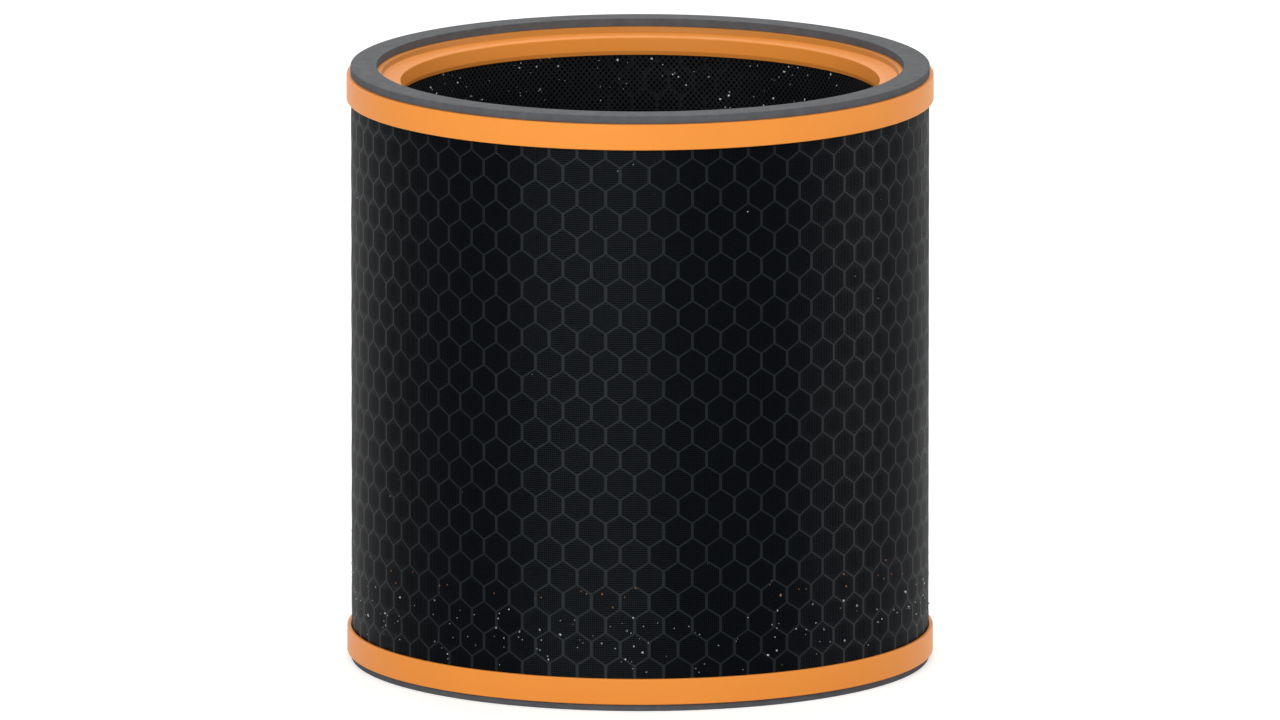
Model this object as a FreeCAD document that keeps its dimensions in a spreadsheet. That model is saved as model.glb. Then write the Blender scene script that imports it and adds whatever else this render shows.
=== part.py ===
import FreeCAD, Part
import Sketcher
import math
import os

# Cylindrical air purifier filter: a drum of granular carbon held in a honeycomb core, between an
# outer screen and an inner net. A moulded cap with a foam gasket rings each end of the drum.
# Origin at the middle of the bottom gasket's foot, +Z along the drum's axis, the front towards -Y.

# Driving sizes. Lengths are in millimetres and angles in degrees.
SIZES = [
    # end caps
    ("face_height", "249.5"),      # between the sealing faces of the two caps
    ("cap_radius", "125"),
    ("ring_width", "23.05"),       # from the bore to the cap's outside
    ("skirt_wall", "1.7"),
    ("skirt_height", "11"),
    ("bore_wall", "1.5"),
    ("bore_height", "10.7"),
    ("bore_flare", "0.8"),         # the bell mouth at the foot of the bore's wall
    ("flare_height", "1.9"),
    ("rim_width", "14.9"),         # the flat sealing face
    ("step_run", "0.6"),
    ("step_height", "2.1"),
    ("ledge_fall", "0.9"),
    ("web_wall", "1.5"),
    # foam gaskets
    ("gasket_thickness", "3.5"),
    ("pressed_thickness", "3"),    # the lower gasket, under the filter's weight
    ("gasket_inset", "1.7"),
    ("gasket_width", "11.1"),
    # drum
    ("fit_gap", "0.15"),           # between a cap's skirts and the drum
    ("layer_gap", "0.1"),
    ("net_wall", "0.6"),
    ("screen_wall", "0.6"),
    # honeycomb
    ("cells_round", "63"),
    ("cell_row", "10.2"),          # from one row of cells to the next
    ("cell_wall_run", "6.2"),      # upright side of a cell
    ("rows_rise", "0.7"),          # the middle row of cells above the drum's middle
    ("first_wall_angle", "-91.08"),
]

# Sizes that follow from the driving ones.
DERIVED = [
    ("bore_radius", "=cap_radius - ring_width"),
    ("ledge_depth", "=step_height + ledge_fall"),
    ("web_depth", "=ledge_depth + web_wall"),
    ("drum_foot", "=pressed_thickness + web_depth"),
    ("drum_height", "=face_height - 2 * web_depth"),
    ("screen_radius", "=cap_radius - skirt_wall - fit_gap"),
    ("screen_inner", "=screen_radius - screen_wall"),
    ("net_inner", "=bore_radius + bore_wall + fit_gap"),
    ("net_outer", "=net_inner + net_wall"),
    ("core_inner", "=net_outer + layer_gap"),
    ("core_outer", "=screen_inner - layer_gap"),
    ("corner_ratio", "=1 / cos(180deg / cells_round)"),
]


def make_sheet(doc):
    """Puts the sizes into the sheet, one row each, under their own names."""
    sheet = doc.addObject("Spreadsheet::Sheet", "sizes")
    for row, (name, value) in enumerate(SIZES + DERIVED, start=1):
        sheet.set("A%d" % row, name)
        sheet.set("B%d" % row, value)
        sheet.setAlias("B%d" % row, name)
    doc.recompute()
    return sheet


def attached_sketch(body, name, role):
    """An empty sketch on one of the body's own origin planes."""
    plane = [feature for feature in body.Origin.OriginFeatures if feature.Role == role][0]
    sketch = body.newObject("Sketcher::SketchObject", name)
    sketch.AttachmentSupport = (plane, [""])
    sketch.MapMode = "FlatFace"
    return sketch


def draw_section(sketch, sheet, corners):
    """Closed outline through corners, each given as its radius and its height in the sheet's names."""
    places = []
    for radius, height in corners:
        x = float(sheet.evalExpression(radius))
        y = float(sheet.evalExpression(height))
        places.append(FreeCAD.Vector(x, y, 0))
    count = len(corners)
    for index in range(count):
        sketch.addGeometry(Part.LineSegment(places[index], places[(index + 1) % count]), False)
    for index in range(count):
        following = (index + 1) % count
        sketch.addConstraint(Sketcher.Constraint("Coincident", index, 2, following, 1))
    for index, (radius, height) in enumerate(corners):
        for kind, expression, value in (
            ("DistanceX", radius, places[index].x),
            ("DistanceY", height, places[index].y),
        ):
            number = sketch.addConstraint(Sketcher.Constraint(kind, -1, 1, index, 1, value))
            sketch.setExpression("Constraints[%d]" % number, in_sheet(expression))


def in_sheet(expression):
    """The same expression with each size's name read from the sheet."""
    words = expression.split(" ")
    return " ".join("sizes." + word if word[0].isalpha() else word for word in words)


def place_at_end(body, turned):
    """Stands a piece on the top sealing face, or turned over on the bottom one."""
    axis = FreeCAD.Vector(1, 0, 0)
    body.Placement = FreeCAD.Placement(FreeCAD.Vector(0, 0, 0), FreeCAD.Rotation(axis, 180 if turned else 0))
    top = "sizes.pressed_thickness + sizes.face_height"
    body.setExpression("Placement.Base.z", "sizes.pressed_thickness" if turned else top)


def make_cap(doc, sheet, label, turned):
    """Moulded ring: outer skirt, flat rim, sloping ledge and bore wall, turned from one section."""
    body = doc.addObject("PartDesign::Body", label)
    sketch = attached_sketch(body, label + "_section", "XZ_Plane")
    draw_section(sketch, sheet, [
        ("cap_radius", "0"),
        ("cap_radius - rim_width", "0"),
        ("cap_radius - rim_width - step_run", "-1 * step_height"),
        ("bore_radius", "-1 * ledge_depth"),
        ("bore_radius", "flare_height - bore_height"),
        ("bore_radius + bore_flare", "-1 * bore_height"),
        ("bore_radius + bore_wall", "-1 * bore_height"),
        ("bore_radius + bore_wall", "-1 * web_depth"),
        ("cap_radius - skirt_wall", "-1 * web_depth"),
        ("cap_radius - skirt_wall", "-1 * skirt_height"),
        ("cap_radius", "-1 * skirt_height"),
    ])
    turn = body.newObject("PartDesign::Revolution", label + "_turn")
    turn.Profile = sketch
    turn.ReferenceAxis = (sketch, ["V_Axis"])
    turn.Angle = 360
    place_at_end(body, turned)
    return body


def make_gasket(doc, label, turned):
    """Foam ring stuck on a cap's sealing face, near its outer edge."""
    body = doc.addObject("PartDesign::Body", label)
    sketch = attached_sketch(body, label + "_ring", "XY_Plane")
    outer = "sizes.cap_radius - sizes.gasket_inset"
    for radius in (outer, outer + " - sizes.gasket_width"):
        circle = sketch.addGeometry(Part.Circle(), False)
        sketch.addConstraint(Sketcher.Constraint("Coincident", circle, 3, -1, 1))
        number = sketch.addConstraint(Sketcher.Constraint("Radius", circle, 1.0))
        sketch.setExpression("Constraints[%d]" % number, radius)
    pad = body.newObject("PartDesign::Pad", label + "_pad")
    pad.Profile = sketch
    pad.setExpression("Length", "sizes.pressed_thickness" if turned else "sizes.gasket_thickness")
    place_at_end(body, turned)
    return body


def make_prism(doc, name, flat_radius, overrun):
    """Upright prism with one side to each cell of the core, its flats at the given radius."""
    prism = doc.addObject("Part::Prism", name)
    prism.setExpression("Polygon", "sizes.cells_round")
    prism.setExpression("Circumradius", "sizes.%s * sizes.corner_ratio" % flat_radius)
    prism.setExpression("Height", "sizes.drum_height + %g" % (2 * overrun))
    prism.setExpression("Placement.Base.z", "sizes.drum_foot - %g" % overrun)
    prism.setExpression("Placement.Rotation.Angle", "sizes.first_wall_angle * 1deg")
    return prism


def make_layer(doc, label, inner, outer):
    """Drum layer with a flat to each column of cells, from one cap's web to the other's."""
    through = 1
    layer = doc.addObject("Part::Cut", label)
    layer.Base = make_prism(doc, label + "_outside", outer, 0)
    layer.Tool = make_prism(doc, label + "_inside", inner, through)
    return layer


class Lattice:
    """Corners of the drum's skin, shared between its triangles, on columns half a cell apart."""

    def __init__(self, cells_round, first_angle):
        self.columns = 2 * cells_round
        self.first_angle = math.radians(first_angle)
        self.points = []
        self.triangles = []
        self.known = {}

    def corner(self, radius, column, height):
        """Number of the corner at this radius, column and height, made when first asked for."""
        column = column % self.columns
        key = (radius, column, round(height, 6))
        if key not in self.known:
            angle = self.first_angle + column * 2 * math.pi / self.columns
            place = FreeCAD.Vector(radius * math.cos(angle), radius * math.sin(angle), height)
            self.known[key] = len(self.points)
            self.points.append(place)
        return self.known[key]

    def fan(self, first, *rest):
        """Triangles from one corner to each following pair of corners."""
        for second, third in zip(rest, rest[1:]):
            self.triangles.append((first, second, third))

    def solid(self):
        """Closed solid bounded by all the triangles."""
        mesh = Part.Shape()
        mesh.makeShapeFromMesh((self.points, self.triangles), 0.001, False)
        solid = Part.makeSolid(Part.Shell(mesh.Faces))
        if solid.Volume < 0:
            solid.reverse()
        return solid


def add_cell(lattice, radius, column, low, high, peaks):
    """Screen over one cell: a flat panel between its upright walls and a flap to each of its peaks."""
    low_left = lattice.corner(radius, column - 1, low)
    low_right = lattice.corner(radius, column + 1, low)
    high_right = lattice.corner(radius, column + 1, high)
    high_left = lattice.corner(radius, column - 1, high)
    lattice.fan(low_left, low_right, high_right, high_left)
    for peak in peaks:
        tip = lattice.corner(radius, column, peak)
        if peak > high:
            lattice.fan(high_left, high_right, tip)
        else:
            lattice.fan(low_right, low_left, tip)


def make_screen(doc, sheet, label):
    """Fine screen drawn tight over the core, so that it lies flat across each cell from wall to wall."""
    foot = sheet.drum_foot
    top = foot + sheet.drum_height
    middle = (foot + top) / 2 + sheet.rows_rise
    outside = sheet.screen_radius
    inside = sheet.screen_inner * sheet.corner_ratio
    side = sheet.cell_wall_run / 2
    reach = sheet.cell_row - side
    cells_round = int(sheet.cells_round)
    last_row = math.floor(sheet.drum_height / 2 / sheet.cell_row)
    lattice = Lattice(cells_round, sheet.first_wall_angle)
    for row in range(-last_row, last_row + 1):
        height = middle + row * sheet.cell_row
        first_column = 1 + (row + last_row) % 2
        for column in range(first_column, first_column + 2 * cells_round, 2):
            if row == -last_row:
                add_cell(lattice, outside, column, foot, height + side, [height + reach])
            elif row == last_row:
                add_cell(lattice, outside, column, height - side, top, [height - reach])
            else:
                peaks = [height - reach, height + reach]
                add_cell(lattice, outside, column, height - side, height + side, peaks)
    for column in range(0, 2 * cells_round, 2):
        low = lattice.corner(inside, column, foot)
        high = lattice.corner(inside, column, top)
        next_low = lattice.corner(inside, column + 2, foot)
        next_high = lattice.corner(inside, column + 2, top)
        lattice.fan(low, high, next_high, next_low)
        rim_low = lattice.corner(outside, column, foot)
        rim_high = lattice.corner(outside, column, top)
        lattice.fan(low, next_low, lattice.corner(outside, column + 2, foot), rim_low)
        lattice.fan(high, rim_high, lattice.corner(outside, column + 2, top), next_high)
    screen = doc.addObject("Part::Feature", label)
    screen.Shape = lattice.solid()
    return screen


def check_built(doc, pieces):
    """Stops the run if anything in the document failed or a piece has no sound shape."""
    for item in doc.Objects:
        if "Invalid" in item.State or "Error" in item.State:
            raise RuntimeError("%s failed: %s" % (item.Label, item.State))
    for piece in pieces:
        if piece.Shape.isNull() or not piece.Shape.isValid():
            raise RuntimeError("%s has no valid shape" % piece.Label)


def write_pieces(pieces):
    """Writes one STEP file for each piece, named after its label."""
    os.makedirs("parts", exist_ok=True)
    for piece in pieces:
        piece.Shape.exportStep("parts/%s.step" % piece.Label)
        print(piece.Label, "%.1f mm3" % piece.Shape.Volume)


doc = FreeCAD.newDocument("air_purifier_filter")
sheet = make_sheet(doc)
pieces = []
for end, turned in (("top", False), ("bottom", True)):
    pieces.append(make_cap(doc, sheet, end + "_end_cap", turned))
    pieces.append(make_gasket(doc, end + "_gasket", turned))
pieces.append(make_layer(doc, "inner_net", "net_inner", "net_outer"))
pieces.append(make_layer(doc, "carbon_honeycomb", "core_inner", "core_outer"))
pieces.append(make_screen(doc, sheet, "outer_screen"))
doc.recompute()
check_built(doc, pieces)
write_pieces(pieces)
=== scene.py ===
import math

import bpy
import numpy as np
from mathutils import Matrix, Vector


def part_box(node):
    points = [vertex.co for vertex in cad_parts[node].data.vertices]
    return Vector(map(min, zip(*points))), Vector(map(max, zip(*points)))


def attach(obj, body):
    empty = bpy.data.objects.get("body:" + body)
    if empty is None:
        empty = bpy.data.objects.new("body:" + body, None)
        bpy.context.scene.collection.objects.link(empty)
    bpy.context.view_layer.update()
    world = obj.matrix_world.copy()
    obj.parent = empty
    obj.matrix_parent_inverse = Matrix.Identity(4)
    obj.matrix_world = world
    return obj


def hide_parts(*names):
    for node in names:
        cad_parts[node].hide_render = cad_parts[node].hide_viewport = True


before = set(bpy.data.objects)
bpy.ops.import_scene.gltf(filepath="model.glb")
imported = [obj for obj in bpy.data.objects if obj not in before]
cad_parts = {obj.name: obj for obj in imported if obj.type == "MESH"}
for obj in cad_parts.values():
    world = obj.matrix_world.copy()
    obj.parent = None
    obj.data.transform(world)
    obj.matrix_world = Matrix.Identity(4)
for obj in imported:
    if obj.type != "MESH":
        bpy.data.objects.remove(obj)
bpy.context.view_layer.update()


# Honeycomb core: the frame of thin sheets that holds the carbon. Black plastic sheets are glued in
# stripes and pulled open, so the upright walls are double and the sloping ones single. It is bent
# into a drum, and the outer screen is pressed into a grey line of glue on its walls' outer edges.
turn = 2 * math.pi
cells_round = 63
half_cell = math.pi / cells_round
first_wall = math.radians(-91.08)
cell_row = 0.0102
upright_half = 0.0031
tip_reach = cell_row - upright_half
double_wall = 0.0013
single_wall = 0.00072
glue_depth = 0.0004
glue_sag = 0.28
sheet_black = (0.0007, 0.0007, 0.0009, 1)
glue_dark = (0.0064, 0.0085, 0.0104)
glue_pale = (0.0092, 0.0120, 0.0140)
cap_low, cap_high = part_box("bottom_end_cap")
cap_radius = (cap_high.x - cap_low.x) / 2
skirt_and_gap = 0.00185
screen_radius = cap_radius - skirt_and_gap
screen_off_core = 0.00004
core_outside = screen_radius - screen_off_core
net_thickness = 0.0007
net_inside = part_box("inner_net")[1].x - net_thickness
net_and_gap = 0.0009
core_inside = net_inside + net_and_gap
drum_foot, drum_top = (corner.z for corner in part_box("carbon_honeycomb"))
lattice_rise = 0.0007
drum_middle = (drum_foot + drum_top) / 2 + lattice_rise
end_row = int((drum_top - drum_foot) / 2 / cell_row)
rows = 2 * end_row + 1


def add_piece(name, points, faces, material, smooth=True):
    """One mesh object from arrays: points (..., 3), and faces as a list of (m, 3) or (m, 4) index
    arrays. It rides on the one body and takes the material given."""
    points = np.asarray(points, np.float32).reshape(-1, 3)
    sizes = np.concatenate([np.full(len(block), block.shape[1]) for block in faces])
    starts = np.concatenate([[0], np.cumsum(sizes)[:-1]]).astype(np.int32)
    indices = np.concatenate([block.ravel() for block in faces]).astype(np.int32)
    mesh = bpy.data.meshes.new(name)
    mesh.vertices.add(len(points))
    mesh.vertices.foreach_set("co", points.ravel())
    mesh.loops.add(len(indices))
    mesh.loops.foreach_set("vertex_index", indices)
    mesh.polygons.add(len(sizes))
    mesh.polygons.foreach_set("loop_start", starts)
    mesh.polygons.foreach_set("use_smooth", np.full(len(sizes), smooth))
    mesh.update(calc_edges=True)
    mesh.validate()
    mesh.materials.append(material)
    piece = bpy.data.objects.new(name, mesh)
    bpy.context.scene.collection.objects.link(piece)
    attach(piece, "root")
    return piece


def on_drum(radius, angle, height):
    """Points at a radius, an angle round the axis and a height: x = r cos a, y = r sin a, z is the
    height."""
    radius, angle, height = np.broadcast_arrays(radius, angle, height)
    return np.stack([radius * np.cos(angle), radius * np.sin(angle), height], axis=-1)


def cell_mouths(radius):
    """Corners of every cell's mouth at one radius, as an array of rows, cells and six corners.
    Each is the lattice's hexagon moved in by half a wall: its upright sides by half a double wall,
    its sloping sides by half a single one, measured square to the wall."""
    row = np.arange(rows)[:, None, None]
    cell = np.arange(cells_round)[None, :, None]
    middle_angle = first_wall + (1 + row % 2 + 2 * cell) * half_cell
    middle_height = drum_middle + (row - end_row) * cell_row
    half_width = radius * half_cell
    slope = (tip_reach - upright_half) / half_width
    tip = tip_reach - single_wall / 2 * math.hypot(1, slope)
    side = half_width - double_wall / 2
    shoulder = tip - slope * side
    across = np.array([0, side, side, 0, -side, -side]) / radius
    up = np.array([-tip, -shoulder, shoulder, tip, shoulder, -shoulder])
    return on_drum(radius, middle_angle + across, middle_height + up)


def core_faces():
    """Faces of the core. Corner k of cell (row, cell) is point (row * cells + cell) * 6 + k on the
    outside, and the point a whole lattice further on in the inside. Each upright or sloping wall
    end is a quad between two mouths, each junction a triangle between three, and each mouth is
    lined by six quads. The rims, rings of points at the drum's foot and top, close the ends."""
    inner = rows * cells_round * 6
    rings = 2 * inner
    columns = 2 * cells_round
    row, cell = np.meshgrid(np.arange(rows), np.arange(cells_round), indexing="ij")

    def corner(r, c, k):
        return ((r * cells_round + c % cells_round) * 6 + k).ravel()

    def rim(level, column):
        return rings + level * columns + column % columns

    def face(*corners):
        return np.stack(corners, axis=1)

    def inside(faces):
        return np.where(faces < rings, faces + inner, faces + 2 * columns)[:, ::-1]

    here, next_cell = (row, cell), (row, cell + 1)
    low = (row[:-1], cell[:-1])
    up = (low[0] + 1, low[1] + low[0] % 2)
    left_of_up = (up[0], up[1] - 1)
    next_to_low = (low[0], low[1] + 1)
    cells = np.arange(cells_round)
    first_row, last_row = np.zeros_like(cells), np.full_like(cells, rows - 1)
    bottom, next_bottom = (first_row, cells), (first_row, cells + 1)
    top, next_top = (last_row, cells), (last_row, cells + 1)
    left, middle, right = 2 * cells, 2 * cells + 1, 2 * cells + 2
    around = np.arange(columns)
    quads = np.concatenate([
        face(corner(*here, 1), corner(*next_cell, 5), corner(*next_cell, 4), corner(*here, 2)),
        face(corner(*low, 2), corner(*up, 0), corner(*up, 5), corner(*low, 3)),
        face(corner(*low, 3), corner(*left_of_up, 1), corner(*left_of_up, 0), corner(*low, 4)),
        face(rim(0, left), rim(0, middle), corner(*bottom, 0), corner(*bottom, 5)),
        face(rim(0, middle), rim(0, right), corner(*bottom, 1), corner(*bottom, 0)),
        face(corner(*top, 4), corner(*top, 3), rim(1, middle), rim(1, left)),
        face(corner(*top, 3), corner(*top, 2), rim(1, right), rim(1, middle)),
    ])
    triangles = np.concatenate([
        face(corner(*low, 3), corner(*up, 5), corner(*left_of_up, 1)),
        face(corner(*low, 2), corner(*next_to_low, 4), corner(*up, 0)),
        face(rim(0, right), corner(*next_bottom, 5), corner(*bottom, 1)),
        face(corner(*top, 2), corner(*next_top, 4), rim(1, right)),
    ])
    lining = []
    for k in range(6):
        near, far = corner(*here, k), corner(*here, (k + 1) % 6)
        lining.append(face(near, far, far + inner, near + inner))
    ends = [
        face(rim(0, around + 1), rim(0, around), rim(2, around), rim(2, around + 1)),
        face(rim(1, around), rim(1, around + 1), rim(3, around + 1), rim(3, around)),
    ]
    return [np.concatenate([quads, inside(quads)] + lining + ends),
            np.concatenate([triangles, inside(triangles)])]


def new_material(name):
    """An empty node material: returns it with its tree, its Principled BSDF and a link function."""
    material = bpy.data.materials.new(name)
    material.use_nodes = True
    tree = material.node_tree
    shader = tree.nodes["Principled BSDF"]
    return material, tree, shader, tree.links.new


def add_node(tree, kind, **settings):
    """A shader node of that kind; settings are its properties, or its sockets' values by name."""
    node = tree.nodes.new(kind)
    for key, value in settings.items():
        if hasattr(node, key):
            setattr(node, key, value)
        else:
            node.inputs[key].default_value = value
    return node


patches_in_height = 0.3


def grain_group():
    """Shared grain: fine noise over broad noise on Object coordinates. It puts out a value near 0.5
    that varies slowly (Patches), a fine one (Grain), and as a height the fine one plus
    patches_in_height times the slow one."""
    group = bpy.data.node_groups.new("surface grain", "ShaderNodeTree")
    for way, labels in (("INPUT", ("Patch scale", "Grain scale")),
                        ("OUTPUT", ("Patches", "Grain", "Height"))):
        for label in labels:
            group.interface.new_socket(name=label, in_out=way, socket_type="NodeSocketFloat")
    inputs = add_node(group, "NodeGroupInput")
    outputs = add_node(group, "NodeGroupOutput")
    place = add_node(group, "ShaderNodeTexCoord")
    patches = add_node(group, "ShaderNodeTexNoise", Detail=3.0)
    grain = add_node(group, "ShaderNodeTexNoise", Detail=4.0, Roughness=0.65)
    both = add_node(group, "ShaderNodeMath", operation="MULTIPLY_ADD")
    both.inputs[1].default_value = patches_in_height
    link = group.links.new
    link(place.outputs["Object"], patches.inputs["Vector"])
    link(place.outputs["Object"], grain.inputs["Vector"])
    link(inputs.outputs["Patch scale"], patches.inputs["Scale"])
    link(inputs.outputs["Grain scale"], grain.inputs["Scale"])
    link(patches.outputs["Fac"], both.inputs[0])
    link(grain.outputs["Fac"], both.inputs[2])
    link(patches.outputs["Fac"], outputs.inputs["Patches"])
    link(grain.outputs["Fac"], outputs.inputs["Grain"])
    link(both.outputs["Value"], outputs.inputs["Height"])
    return group


surface_grain = grain_group()


def add_grain(tree, patch_scale, grain_scale):
    """Places the shared grain in a material."""
    node = add_node(tree, "ShaderNodeGroup", node_tree=surface_grain)
    node.inputs["Patch scale"].default_value = patch_scale
    node.inputs["Grain scale"].default_value = grain_scale
    return node


def add_ramp(tree, link, value, first, last, start=0.3, end=0.7):
    """Colours along a value: first up to start, last from end on, and a mix between them."""
    ramp = add_node(tree, "ShaderNodeValToRGB")
    for stop, position, colour in zip(ramp.color_ramp.elements, (start, end), (first, last)):
        stop.position, stop.color = position, (*colour, 1)
    link(value, ramp.inputs["Fac"])
    return ramp.outputs["Color"]


def add_range(tree, link, value, low, high, start=0.3, end=0.7):
    """Maps a value that runs from start to end to the range from low to high. The shared grain's
    values run from about 0.3 to 0.7."""
    node = add_node(tree, "ShaderNodeMapRange")
    ends = {"From Min": start, "From Max": end, "To Min": low, "To Max": high}
    for label, number in ends.items():
        node.inputs[label].default_value = number
    link(value, node.inputs["Value"])
    return node.outputs["Result"]


def add_mix(tree, link, share, first, second, blend="MIX"):
    """Mixes two colours, or multiplies them where blend says so. Share is how much of the second
    shows. Each of the three is an output of another node, or else a plain value."""
    node = add_node(tree, "ShaderNodeMix", data_type="RGBA", blend_type=blend)
    for label, given in (("Factor", share), ("A", first), ("B", second)):
        if isinstance(given, bpy.types.NodeSocket):
            link(given, node.inputs[label])
        else:
            node.inputs[label].default_value = given
    return node.outputs["Result"]


def add_bump(tree, link, shader, height, strength, distance):
    """Bump on the shader's normal; distance is the height of the relief in metres."""
    bump = add_node(tree, "ShaderNodeBump", Strength=strength, Distance=distance)
    link(height, bump.inputs["Height"])
    link(bump.outputs["Normal"], shader.inputs["Normal"])
    return bump


def add_axis_distance(tree, link):
    """Distance of the shaded point from the drum's axis."""
    place = add_node(tree, "ShaderNodeTexCoord")
    flat = add_node(tree, "ShaderNodeVectorMath", operation="MULTIPLY")
    flat.inputs[1].default_value = (1, 1, 0)
    link(place.outputs["Object"], flat.inputs[0])
    distance = add_node(tree, "ShaderNodeVectorMath", operation="LENGTH")
    link(flat.outputs["Vector"], distance.inputs[0])
    return distance.outputs["Value"]


def core_material():
    """Black plastic sheet, with grey glue at the drum's outside, told by the distance from the
    axis. The glue sagged before it set, so its face looks a little upwards: the normal plus
    glue_sag along the axis."""
    material, tree, shader, link = new_material("core sheet and glue")
    grain = add_grain(tree, patch_scale=60, grain_scale=1500)
    glued = add_range(tree, link, add_axis_distance(tree, link), low=0, high=1,
                      start=core_outside - 2 * glue_depth, end=core_outside - glue_depth)
    glue = add_ramp(tree, link, grain.outputs["Patches"], glue_dark, glue_pale)
    link(add_mix(tree, link, glued, sheet_black, glue), shader.inputs["Base Color"])
    roughness = add_range(tree, link, grain.outputs["Grain"], low=0.34, high=0.44)
    link(roughness, shader.inputs["Roughness"])
    shader.inputs["Specular IOR Level"].default_value = 0.075
    bump = add_bump(tree, link, shader, grain.outputs["Height"], strength=0.15, distance=0.00008)
    shape = add_node(tree, "ShaderNodeNewGeometry")
    sag = add_node(tree, "ShaderNodeVectorMath", operation="ADD")
    sag.inputs[1].default_value = (0, 0, glue_sag)
    bead = add_node(tree, "ShaderNodeVectorMath", operation="NORMALIZE")
    link(shape.outputs["Normal"], sag.inputs[0])
    link(sag.outputs["Vector"], bead.inputs[0])
    link(bead.outputs["Vector"], bump.inputs["Normal"])
    return material


rim_angles = first_wall + np.arange(2 * cells_round) * half_cell
core_points = np.concatenate([
    cell_mouths(core_outside).reshape(-1, 3),
    cell_mouths(core_inside).reshape(-1, 3),
    on_drum(core_outside, rim_angles, drum_foot),
    on_drum(core_outside, rim_angles, drum_top),
    on_drum(core_inside, rim_angles, drum_foot),
    on_drum(core_inside, rim_angles, drum_top),
])
core = add_piece("honeycomb_core", core_points, core_faces(), core_material(),
                 smooth=False)
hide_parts("carbon_honeycomb")


# Carbon: the black granules, two to three millimetres across, that fill every cell. What shows of
# them is the bed's face just inside each cell's two mouths, so each bed is a bumpy closed ring.
granule_size = 0.0024
granule_height = 0.0010
granule_jitter = 0.32
smallest_granule = 0.65
dome_reach = 0.55
outer_bed_behind = 0.0005
inner_bed_behind = 0.0001
bed_margin = 0.0002
bed_back = 0.004
bed_heights = 178
deep_black = (0.0005, 0.0006, 0.0009)
dusty_black = (0.0022, 0.0024, 0.0030)
chance = np.random.default_rng(7)


def granule_relief(angle, height, radius):
    """Height of the bed from 0 to 1. Granules sit one to a jittered square. The relief at a point
    is the highest of the domes round it, and a dome is the root of one minus the squared distance
    over dome_reach, times its granule's own size."""
    across = int(turn * radius / granule_size)
    up = int((drum_top - drum_foot) / granule_size) + 3
    jitter = chance.uniform(-granule_jitter, granule_jitter, (up, across, 2))
    size = chance.uniform(smallest_granule, 1.0, (up, across))
    u = angle / turn * across
    v = (height - drum_foot) / granule_size + 1
    column, line = np.floor(u).astype(int), np.floor(v).astype(int)
    relief = np.zeros(np.broadcast_shapes(u.shape, v.shape))
    for step_up in (-1, 0, 1):
        for step_across in (-1, 0, 1):
            near_line = np.clip(line + step_up, 0, up - 1)
            near_column = (column + step_across) % across
            away_u = u - (column + step_across + 0.5 + jitter[near_line, near_column, 0])
            away_v = v - (line + step_up + 0.5 + jitter[near_line, near_column, 1])
            reach = (away_u ** 2 + away_v ** 2) / dome_reach
            dome = size[near_line, near_column] * np.sqrt(np.clip(1 - reach, 0, 1))
            relief = np.maximum(relief, dome)
    return relief


def ring_faces(around, section, count=1):
    """Quads of count closed rings, each a grid of around by section points joined both ways."""
    ring, step, side = np.meshgrid(np.arange(count), np.arange(around), np.arange(section),
                                   indexing="ij")
    start = ring * around
    next_step, next_side = (step + 1) % around, (side + 1) % section
    corners = [(start + step) * section + side, (start + next_step) * section + side,
               (start + next_step) * section + next_side, (start + step) * section + next_side]
    return np.stack([corner.ravel() for corner in corners], axis=1)


def add_bed(name, radius, outward, around, material):
    """One face of the bed: radius plus relief on a grid of angle and height, and a plain back
    bed_back behind it. outward is 1 for the outer bed and -1 for the inner one."""
    angle = np.arange(around)[:, None] * turn / around
    height = np.linspace(drum_foot + bed_margin, drum_top - bed_margin, bed_heights)[None, :]
    if outward < 0:
        height = height[:, ::-1]
    relief = granule_relief(angle, height, radius)
    face = on_drum(radius + outward * granule_height * (relief - 1), angle, height)
    back = on_drum(radius - outward * bed_back, angle, height[:, [-1, 0]])
    points = np.concatenate([face, back], axis=1)
    add_piece(name, points, [ring_faces(around, bed_heights + 2)], material)


def carbon_material():
    """Near-black mineral: each granule has its own depth of black, a dull skin and pitted relief,
    and a few broken faces are smoother than the rest."""
    material, tree, shader, link = new_material("granular carbon")
    place = add_node(tree, "ShaderNodeTexCoord")
    lumps = add_node(tree, "ShaderNodeTexVoronoi", Scale=420.0)
    link(place.outputs["Object"], lumps.inputs["Vector"])
    grain = add_grain(tree, patch_scale=120, grain_scale=2600)
    colour = add_ramp(tree, link, lumps.outputs["Color"], deep_black, dusty_black, start=0, end=1)
    link(colour, shader.inputs["Base Color"])
    roughness = add_range(tree, link, grain.outputs["Patches"], low=0.42, high=0.75)
    link(roughness, shader.inputs["Roughness"])
    shader.inputs["Specular IOR Level"].default_value = 0.05
    add_bump(tree, link, shader, grain.outputs["Height"], strength=0.5, distance=0.0003)
    return material


carbon = carbon_material()
add_bed("carbon_granules_outer", core_outside - outer_bed_behind, outward=1, around=480,
        material=carbon)
add_bed("carbon_granules_inner", core_inside + inner_bed_behind, outward=-1, around=400,
        material=carbon)


# Inner net: an extruded diamond net of black plastic that lines the bore. Two layers of strands lie
# across each other on opposite helices and are welded where they cross, between the two caps' webs.
strands = 268
strand_angle = math.radians(48.4)
strand_width = 0.00061
strand_depth = 0.00045
strand_steps = 22
strand_middle = 0.00025
weld = 0.00001
net_dark = (0.0079, 0.0090, 0.0104)
net_pale = (0.0113, 0.0128, 0.0146)


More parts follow.
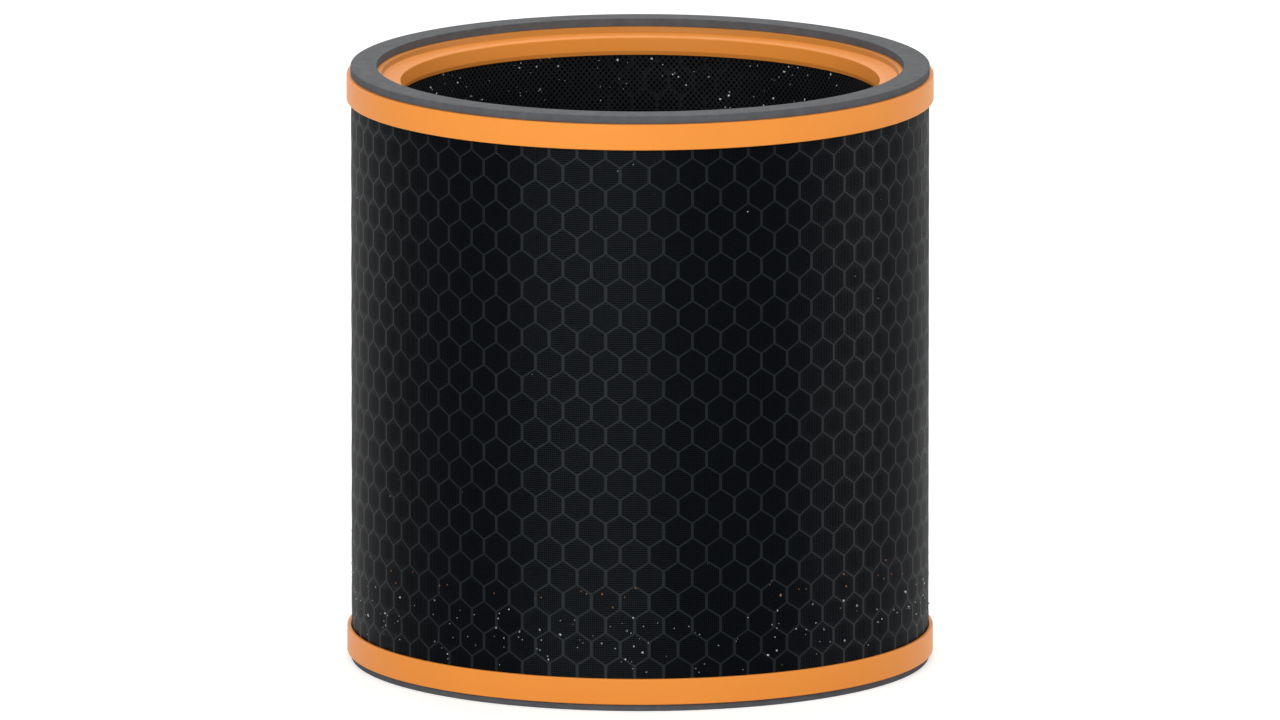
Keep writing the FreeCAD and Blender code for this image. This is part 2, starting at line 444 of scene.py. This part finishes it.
def strand_faces(count, along, section):
    """Quads of count tubes, each of along rings with section points, and one quad for each end."""
    tube, step, side = np.meshgrid(np.arange(count), np.arange(along - 1), np.arange(section),
                                   indexing="ij")
    next_side = (side + 1) % section
    here, ahead = (tube * along + step) * section, (tube * along + step + 1) * section
    corners = [here + side, here + next_side, ahead + next_side, ahead + side]
    sides = np.stack([corner.ravel() for corner in corners], axis=1)
    first = np.arange(count)[:, None] * along * section
    low_end = first + np.arange(section)[::-1]
    high_end = first + (along - 1) * section + np.arange(section)
    return [sides, low_end, high_end]


def net_strands(lean, radius):
    """Strands on a helix that climbs at strand_angle. The angle round the axis is the start's plus
    lean, which is 1 or -1, times the height over the climb's tangent and the radius. A section has
    four corners, half its width each way along the drum and half its depth each way off it."""
    height = np.linspace(drum_foot, drum_top, strand_steps)[None, :, None]
    start = np.arange(strands)[:, None, None] * turn / strands
    angle = start + lean * (height - drum_foot) / (math.tan(strand_angle) * radius)
    wide = strand_width / 2 / math.sin(strand_angle) / radius
    off_angle = np.array([wide, wide, -wide, -wide])
    off_radius = np.array([-1, 1, 1, -1]) * strand_depth / 2
    return on_drum(radius + off_radius, angle + off_angle, height)


def net_material():
    """Black polyethylene: nearly plain, with a slight sheen and faint uneven marks."""
    material, tree, shader, link = new_material("black net")
    grain = add_grain(tree, patch_scale=45, grain_scale=1800)
    colour = add_ramp(tree, link, grain.outputs["Patches"], net_dark, net_pale)
    link(colour, shader.inputs["Base Color"])
    roughness = add_range(tree, link, grain.outputs["Grain"], low=0.45, high=0.6)
    link(roughness, shader.inputs["Roughness"])
    shader.inputs["Specular IOR Level"].default_value = 0.08
    add_bump(tree, link, shader, grain.outputs["Height"], strength=0.15, distance=0.00005)
    return material


net_radius = net_inside + strand_middle
net_points = np.concatenate([net_strands(1, net_radius), net_strands(-1, net_radius - weld)])
net = add_piece("inner_net_strands", net_points, strand_faces(2 * strands, strand_steps, 4),
                net_material(), smooth=False)
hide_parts("inner_net")


# Outer screen: a fine black polyester screen drawn tight over the core and glued at the caps. Its
# hoops lie straight from wall to wall across each cell, with plain upright threads behind them.
uprights_to_cell = 14
hoops_to_row = 11
hoop_pitch = cell_row / hoops_to_row
hoop_width = 0.00050
hoop_depth = 0.00013
hoop_ridge = -0.8
hair = 0.02 * half_cell
upright_width = 0.00030
upright_depth = 0.00020
uprights_behind = 0.00005
threads_inside_skin = 0.0001
thread_outside = screen_radius - threads_inside_skin
tuck = 0.0015
thread_dark = (0.0004, 0.0008, 0.0019)
thread_pale = (0.0007, 0.0012, 0.0028)
thread_tint = (0.84, 0.94, 1.0, 1)


def hoop_angles(height):
    """Angles at which a hoop at this height bends over walls: 2 to each cell, from the first wall
    on. Beside upright walls both fall on the wall. Past their ends, a hoop crosses two sloping
    walls that part from each other evenly with height, until they meet the next row's uprights."""
    level = (height - drum_middle) / cell_row + end_row
    row = np.floor(level + 0.5)
    above = np.abs(level - row) * cell_row - upright_half
    spread = np.clip(above / (tip_reach - upright_half), 0, 1)
    wall = np.arange(cells_round) * 2 + (row % 2)[:, None]
    pair = np.stack([wall - spread[:, None], wall + spread[:, None]], axis=-1)
    return first_wall + pair.reshape(len(height), -1) * half_cell


def screen_hoops():
    """Hoops of the screen: each runs through its wall angles at the screen's radius. The section
    is a low triangle with its ridge near its foot, where the drawn thread is fullest. The two
    angles of a pair part by a hair more, because beside an upright wall they are the same."""
    count = int((drum_top - drum_foot - 2 * tuck) / hoop_pitch)
    height = drum_foot + tuck + np.arange(count) * hoop_pitch
    angle = hoop_angles(height)
    angle[:, 0::2] -= hair
    angle[:, 1::2] += hair
    off_radius = np.array([-hoop_depth, 0, -hoop_depth])
    off_height = np.array([-1, hoop_ridge, 1]) * hoop_width / 2
    return on_drum(thread_outside + off_radius, angle[:, :, None],
                   height[:, None, None] + off_height)


def screen_uprights():
    """Upright threads: straight from cap to cap, evenly spaced round the drum, with a flat section
    of four corners."""
    count = cells_round * uprights_to_cell
    angle = first_wall + (np.arange(count)[:, None, None] + 0.5) * turn / count
    height = np.array([drum_foot + tuck, drum_top - tuck])[None, :, None]
    wide = upright_width / 2 / screen_radius
    off_angle = np.array([wide, wide, -wide, -wide])
    off_radius = np.array([-upright_depth, 0, 0, -upright_depth])
    return on_drum(thread_outside - uprights_behind + off_radius, angle + off_angle, height)


def screen_material():
    """Black polyester thread with a faint blue cast and a dull sheen."""
    material, tree, shader, link = new_material("screen thread")
    grain = add_grain(tree, patch_scale=14, grain_scale=700)
    colour = add_ramp(tree, link, grain.outputs["Patches"], thread_dark, thread_pale)
    link(colour, shader.inputs["Base Color"])
    roughness = add_range(tree, link, grain.outputs["Patches"], low=0.25, high=0.33)
    link(roughness, shader.inputs["Roughness"])
    shader.inputs["Specular IOR Level"].default_value = 0.065
    shader.inputs["Specular Tint"].default_value = thread_tint
    return material


thread = screen_material()
hoops = screen_hoops()
weft = add_piece("outer_screen_hoops", hoops, [ring_faces(2 * cells_round, 3, count=len(hoops))],
                 thread, smooth=False)
uprights = screen_uprights()
add_piece("outer_screen_uprights", uprights, strand_faces(len(uprights), 2, 4),
          thread, smooth=False)
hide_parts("outer_screen")


# End caps: one orange moulding used at both ends. Each is a ring with an outer skirt over the drum,
# a flat rim for the gasket, a step down to a sloping ledge, and a flared wall round the bore. The
# drum's ends are glued into the skirts.
cap_width, rim_width, skirt_wall, bore_wall = 0.02305, 0.0149, 0.0017, 0.0015
step_depth, ledge_depth, web_depth = 0.0021, 0.0030, 0.0045
step_draft = 0.0002
shoulder_width, shoulder_fall, shoulder_round = 0.0026, 0.0004, 0.0020
flare_width, flare_height = 0.0008, 0.0019
bore_short_of_skirt = 0.0003
around_cap = 256
arc_points = 7
orange_deep = (0.858, 0.287, 0.042)
orange_light = (0.892, 0.308, 0.049)
# Painted shade on the caps' step: a dull darker tint multiplied in, full at the step and fading a
# little way off it.
painted_step_shade = (0.60, 0.72, 0.80, 1)
step_inside_rim = 0.0001
painted_shade_full, painted_shade_none = 0.0002, 0.0006
face_height = cap_high.z - cap_low.z
bore_radius = cap_radius - cap_width
rim_inside = cap_radius - rim_width
skirt_inside = cap_radius - skirt_wall
bore_depth = face_height - bore_short_of_skirt


def rounded_section(corners):
    """Outline through corners given as (radius, height, rounding): each corner is swapped for an
    arc that touches both its edges, or kept where the rounding is zero."""
    corners = np.array(corners, float)
    outline = []
    for index, (x, z, rounding) in enumerate(corners):
        here = np.array([x, z])
        if rounding == 0:
            outline.append(here[None])
            continue
        before = corners[index - 1, :2] - here
        after = corners[(index + 1) % len(corners), :2] - here
        before /= np.linalg.norm(before)
        after /= np.linalg.norm(after)
        half = math.acos(np.clip(before @ after, -1, 1)) / 2
        inwards = (before + after) / np.linalg.norm(before + after)
        centre = here + inwards * rounding / math.sin(half)
        start = here + before * rounding / math.tan(half) - centre
        end = here + after * rounding / math.tan(half) - centre
        share = np.linspace(0, 1, arc_points)[:, None]
        arc = start * (1 - share) + end * share
        arc *= rounding / np.linalg.norm(arc, axis=1, keepdims=True)
        outline.append(centre + arc)
    return np.concatenate(outline)


def turned(section, around, height, upward):
    """Section of (radius, height above the sealing face) turned round the axis. upward is 1 for the
    top of the part and -1 for the bottom, where the same section hangs the other way up."""
    angle = np.arange(around)[:, None] * turn / around
    points = on_drum(section[None, :, 0], angle, height + upward * section[None, :, 1])
    return points[:, ::upward]


def plastic_material():
    """Orange moulded plastic: satin, with a fine spark-eroded grain and slightly uneven tone. The
    narrow step between rim and ledge carries painted shade, a duller darker orange as if shaded
    under
    the gasket: full close to the step's radius and fading out a little way off it."""
    material, tree, shader, link = new_material("orange plastic")
    grain = add_grain(tree, patch_scale=9, grain_scale=1400)
    orange_shade = add_ramp(tree, link, grain.outputs["Patches"], orange_deep, orange_light)
    off_step = add_node(tree, "ShaderNodeMath", operation="SUBTRACT")
    off_step.inputs[1].default_value = rim_inside - step_inside_rim
    link(add_axis_distance(tree, link), off_step.inputs[0])
    from_step = add_node(tree, "ShaderNodeMath", operation="ABSOLUTE")
    link(off_step.outputs["Value"], from_step.inputs[0])
    painted_shade_on_step = add_range(tree, link, from_step.outputs["Value"], low=0, high=1,
                        start=painted_shade_none, end=painted_shade_full)
    # Painted shade: this multiply darkens the orange on the step's wall.
    colour = add_mix(tree, link, painted_shade_on_step, orange_shade, painted_step_shade, blend="MULTIPLY")
    link(colour, shader.inputs["Base Color"])
    roughness = add_range(tree, link, grain.outputs["Grain"], low=0.36, high=0.46)
    link(roughness, shader.inputs["Roughness"])
    shader.inputs["Specular IOR Level"].default_value = 0.18
    add_bump(tree, link, shader, grain.outputs["Height"], strength=0.12, distance=0.00006)
    return material


cap_section = rounded_section([
    (cap_radius, 0, 0.0004),
    (rim_inside, 0, 0.0003),
    (rim_inside - step_draft, -step_depth, 0.0003),
    (bore_radius + shoulder_width, -step_depth - shoulder_fall, shoulder_round),
    (bore_radius, -ledge_depth, 0.0005),
    (bore_radius, -bore_depth + flare_height, 0.0008),
    (bore_radius + flare_width, -bore_depth, 0.0003),
    (bore_radius + bore_wall, -bore_depth, 0.0002),
    (bore_radius + bore_wall, -web_depth, 0),
    (skirt_inside, -web_depth, 0),
    (skirt_inside, -face_height, 0.0002),
    (cap_radius, -face_height, 0.0005),
])
orange = plastic_material()
top_face, bottom_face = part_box("top_end_cap")[1].z, cap_low.z
for node, height, upward in (("top_end_cap", top_face, 1), ("bottom_end_cap", bottom_face, -1)):
    cap = add_piece(node + "_moulding", turned(cap_section, around_cap, height, upward),
                    [ring_faces(around_cap, len(cap_section))], orange)
    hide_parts(node)


# Gaskets: rings of grey foam strip stuck to the caps' rims. They are cut from sheet. The flat
# faces are paler and the edges darker, partly as the sheet's skin and the edges' open cells and
# partly as painted shade on the sides. The lower one is thinner, pressed by the filter's weight.
gasket_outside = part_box("top_gasket")[1].x
strip_width = 0.0111
gasket_inside = gasket_outside - strip_width
adhesive = 0.00002
around_gasket = 384
# Edge and face greys: the darker edge is partly the cut cells' own colour and partly painted shade
# on the sides.
cut_edge_and_shade_grey = (0.100, 0.107, 0.116)
skin_grey = (0.132, 0.137, 0.142)


def grey(level):
    """A colour without hue."""
    return (level, level, level)


def foam_section(thickness):
    """Soft-edged rectangle of the strip, as radius and height above the rim that it is stuck to."""
    return rounded_section([
        (gasket_outside, thickness, 0.0003),
        (gasket_inside, thickness, 0.0002),
        (gasket_inside, adhesive, 0.0003),
        (gasket_outside, adhesive, 0.0004),
    ])


def foam_material():
    """Grey foam. Faces along the axis are paler than the edges, told apart by how far the surface
    faces along the axis: partly skin against cut edge, partly painted shade on the sides. Both are
    mottled and pricked with small cells."""
    material, tree, shader, link = new_material("grey foam")
    place = add_node(tree, "ShaderNodeTexCoord")
    shape = add_node(tree, "ShaderNodeNewGeometry")
    parts = add_node(tree, "ShaderNodeSeparateXYZ")
    link(shape.outputs["Normal"], parts.inputs["Vector"])
    facing = add_node(tree, "ShaderNodeMath", operation="ABSOLUTE")
    link(parts.outputs["Z"], facing.inputs[0])
    # Painted shade: surfaces that face sideways take the darker grey, with the cut edge's own
    # darker cells.
    skin_and_side_shade = add_ramp(tree, link, facing.outputs["Value"], cut_edge_and_shade_grey, skin_grey, start=0.25, end=0.85)
    cells = add_node(tree, "ShaderNodeTexVoronoi", Scale=1900.0)
    link(place.outputs["Object"], cells.inputs["Vector"])
    pricks = add_ramp(tree, link, cells.outputs["Distance"], grey(0.72), grey(1.0),
                      start=0, end=0.45)
    grain = add_grain(tree, patch_scale=210, grain_scale=2400)
    mottle = add_ramp(tree, link, grain.outputs["Patches"], grey(0.86), grey(1.08))
    pricked = add_mix(tree, link, 1.0, skin_and_side_shade, pricks, blend="MULTIPLY")
    mottled = add_mix(tree, link, 1.0, pricked, mottle, blend="MULTIPLY")
    link(mottled, shader.inputs["Base Color"])
    roughness = add_range(tree, link, grain.outputs["Grain"], low=0.8, high=0.95)
    link(roughness, shader.inputs["Roughness"])
    shader.inputs["Specular IOR Level"].default_value = 0.15
    add_bump(tree, link, shader, cells.outputs["Distance"], strength=0.35, distance=0.0002)
    return material


foam = foam_material()
for node, height, upward in (("top_gasket", top_face, 1), ("bottom_gasket", bottom_face, -1)):
    gasket_low, gasket_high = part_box(node)
    section = foam_section(gasket_high.z - gasket_low.z)
    ring = add_piece(node + "_foam", turned(section, around_gasket, height, upward),
                     [ring_faces(around_gasket, len(section))], foam)
    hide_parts(node)


# Chips: small pale and grey crumbs on the screen and the net that stand in for glints of light on
# the granules, so painted highlights, and orange ones that are painted reflections of the bottom
# cap. Outside they lie thickest just above the bottom cap, and inside they lie all over the net.
mostly_small = 2.2
skirt_top = cap_high.z
chip_places = np.random.default_rng(23)


def chip_points(radius, angle, height, size):
    """Irregular eight-sided crumbs. Each has six corners, one along each half of its three axes,
    at a length of its own. Its turn is a lean round its own x, then a spin round the upright."""
    count = len(size)
    axes = np.array([[1, 0, 0], [-1, 0, 0], [0, 1, 0], [0, -1, 0], [0, 0, 1], [0, 0, -1]], float)
    length = chip_places.uniform(0.5, 1.0, (count, 6, 1))
    spin, lean = chip_places.uniform(0, turn, (2, count))
    c, s = np.cos(spin), np.sin(spin)
    k, t = np.cos(lean), np.sin(lean)
    zero = np.zeros(count)
    turns = np.array([[c, -s * k, s * t], [s, c * k, -c * t], [zero, t, k]]).transpose(2, 0, 1)
    corners = np.einsum("nij,nkj->nki", turns, axes * length) * size[:, None, None] / 2
    return on_drum(radius, angle, height)[:, None, :] + corners


def chip_faces(count):
    """The eight triangles of each crumb."""
    one = np.array([[0, 2, 4], [2, 1, 4], [1, 3, 4], [3, 0, 4],
                    [2, 0, 5], [1, 2, 5], [3, 1, 5], [0, 3, 5]])
    return [(np.arange(count)[:, None, None] * 6 + one).reshape(-1, 3)]


def chip_material(name, dull, bright, gloss):
    """Crumb with a glassy skin, mottled from dull to bright, whose colour is a painted glint or
    reflection; gloss is its specular level.
    """
    material, tree, shader, link = new_material(name)
    grain = add_grain(tree, patch_scale=400, grain_scale=5000)
    colour = add_ramp(tree, link, grain.outputs["Patches"], dull, bright, start=0.35, end=0.6)
    link(colour, shader.inputs["Base Color"])
    roughness = add_range(tree, link, grain.outputs["Grain"], low=0.15, high=0.4)
    link(roughness, shader.inputs["Roughness"])
    shader.inputs["Specular IOR Level"].default_value = gloss
    return material


def add_chips(name, material, count, radius, low, high, crowding, small, large):
    """count crumbs at one radius, of sizes from small to large, by a chance from 0 to 1 to the
    power mostly_small. Their heights run from low to high, by a chance from -1 to 1 to the power
    crowding: evenly where that is 1, and closer to the middle where it is more."""
    angle = chip_places.uniform(0, turn, count)
    off_middle = chip_places.uniform(-1, 1, count)
    crowded = np.sign(off_middle) * np.abs(off_middle) ** crowding
    height = (low + high) / 2 + (high - low) / 2 * crowded
    size = small + (large - small) * chip_places.uniform(0, 1, count) ** mostly_small
    points = chip_points(radius, angle, height, size)
    add_piece(name, points, chip_faces(count), material, smooth=False)


# Painted highlights: the pale and grey crumbs stand in for glints of light on the granules.
pale_painted_glint = chip_material("pale painted glints", (0.35, 0.37, 0.40), (0.9, 0.9, 0.9), gloss=0.5)
grey_painted_glint = chip_material("grey painted glints", (0.14, 0.15, 0.17), (0.58, 0.60, 0.62), gloss=0.4)
# Painted reflection: orange crumbs stand in for the bottom cap reflected in the granules.
orange_painted_reflection = chip_material("orange painted reflections", (0.13, 0.045, 0.014), (0.34, 0.12, 0.035), gloss=0.3)
add_chips("chips_low_outside", grey_painted_glint, 300, thread_outside, skirt_top + 0.002,
          skirt_top + 0.028, crowding=1.2, small=0.0006, large=0.0017)
# Painted reflection of the bottom cap, in a band a little above it.
add_chips("chips_orange_reflection_outside", orange_painted_reflection, 70, thread_outside, skirt_top + 0.030,
          skirt_top + 0.040, crowding=1, small=0.0009, large=0.0017)
add_chips("chips_high_outside", grey_painted_glint, 60, thread_outside, skirt_top + 0.03,
          drum_top - 0.01, crowding=1, small=0.0003, large=0.0009)
add_chips("chips_inside", pale_painted_glint, 3600, net_inside, drum_foot + 0.004,
          drum_top - 0.002, crowding=1, small=0.0005, large=0.0018)


# Studio: a plain pale floor in a pale room, with five soft boxes. The floor lies a hair under the
# part. The camera stands at the photograph's angle, far off with a long lens, because the
# photograph shows almost no perspective.
floor_half = 3.0
floor_level = -0.0001
floor_paper = 0.65
floor_glow = 0.56
room_light = 0.46
part_middle = Vector((-0.00005, 0, 0.12809))
lamp_distance = 2.4
camera_distance = 14.623
camera_elevation = math.radians(10.667)
camera_lens = 965


def add_seen(tree):
    """1 for rays that look at the background: the camera's, and those that gloss or glass send."""
    path = add_node(tree, "ShaderNodeLightPath")
    seen = path.outputs["Is Camera Ray"]
    for ray in ("Is Glossy Ray", "Is Transmission Ray"):
        either = add_node(tree, "ShaderNodeMath", operation="MAXIMUM")
        tree.links.new(seen, either.inputs[0])
        tree.links.new(path.outputs[ray], either.inputs[1])
        seen = either.outputs["Value"]
    return seen


def stage_material():
    """Paper that keeps the soft shadow at the part's foot. A glow that shows only to rays that look
    at the background makes it near white."""
    material = bpy.data.materials.new("pale floor")
    material.use_nodes = True
    tree = material.node_tree
    tree.nodes.clear()
    link = tree.links.new
    output = add_node(tree, "ShaderNodeOutputMaterial")
    paper = add_node(tree, "ShaderNodeBsdfDiffuse", Color=(*grey(floor_paper), 1))
    glow = add_node(tree, "ShaderNodeEmission")
    both = add_node(tree, "ShaderNodeAddShader")
    level = add_node(tree, "ShaderNodeMath", operation="MULTIPLY")
    level.inputs[1].default_value = floor_glow
    link(add_seen(tree), level.inputs[0])
    link(level.outputs["Value"], glow.inputs["Strength"])
    link(paper.outputs["BSDF"], both.inputs[0])
    link(glow.outputs["Emission"], both.inputs[1])
    link(both.outputs["Shader"], output.inputs["Surface"])
    return material


floor_corners = [(x * floor_half, y * floor_half, floor_level)
                 for x, y in ((-1, -1), (1, -1), (1, 1), (-1, 1))]
floor_mesh = bpy.data.meshes.new("floor")
floor_mesh.from_pydata(floor_corners, [], [(0, 1, 2, 3)])
floor_mesh.materials.append(stage_material())
floor = bpy.data.objects.new("floor", floor_mesh)
bpy.context.scene.collection.objects.link(floor)

world = bpy.data.worlds.new("pale room")
world.use_nodes = True
bpy.context.scene.world = world
room = world.node_tree
background = room.nodes["Background"]
background.inputs["Color"].default_value = (1, 1, 1, 1)
room_level = add_range(room, room.links.new, add_seen(room), low=room_light, high=1, start=0, end=1)
room.links.new(room_level, background.inputs["Strength"])


def add_lamp(name, azimuth, elevation, width, height, level):
    """Soft box that faces the part from lamp_distance. azimuth is degrees to the right of the
    photograph's camera, and level is its brightness, where 1 is the white of the background."""
    lamp = bpy.data.lights.new(name, "AREA")
    lamp.shape = "RECTANGLE"
    lamp.size, lamp.size_y = width, height
    lamp.energy = level * math.pi * width * height
    holder = bpy.data.objects.new(name, lamp)
    a, e = math.radians(azimuth), math.radians(elevation)
    away = Vector((math.sin(a) * math.cos(e), -math.cos(a) * math.cos(e), math.sin(e)))
    holder.location = part_middle + away * lamp_distance
    holder.rotation_mode = "QUATERNION"
    holder.rotation_quaternion = away.to_track_quat("Z", "Y")
    holder.visible_camera = False
    bpy.context.scene.collection.objects.link(holder)


add_lamp("front softbox", azimuth=-20, elevation=21, width=2.2, height=1.0, level=4.65)
add_lamp("right softbox", azimuth=89, elevation=13, width=1.75, height=0.42, level=5.2)
add_lamp("left softbox", azimuth=-144, elevation=12, width=3.0, height=0.8, level=0.7)
add_lamp("fill softbox", azimuth=25, elevation=58, width=1.2, height=1.2, level=1.2)
add_lamp("back softbox", azimuth=180, elevation=52, width=1.8, height=1.4, level=2.3)

camera_data = bpy.data.cameras.new("camera")
camera_data.sensor_width = 36
camera_data.lens = camera_lens
camera_data.clip_start, camera_data.clip_end = 0.1, 4 * camera_distance
camera = bpy.data.objects.new("camera", camera_data)
towards_camera = Vector((0, -math.cos(camera_elevation), math.sin(camera_elevation)))
camera.location = part_middle + towards_camera * camera_distance
camera.rotation_mode = "QUATERNION"
camera.rotation_quaternion = towards_camera.to_track_quat("Z", "Y")
bpy.context.scene.collection.objects.link(camera)
bpy.context.scene.camera = camera
bpy.context.scene.view_settings.view_transform = "Standard"
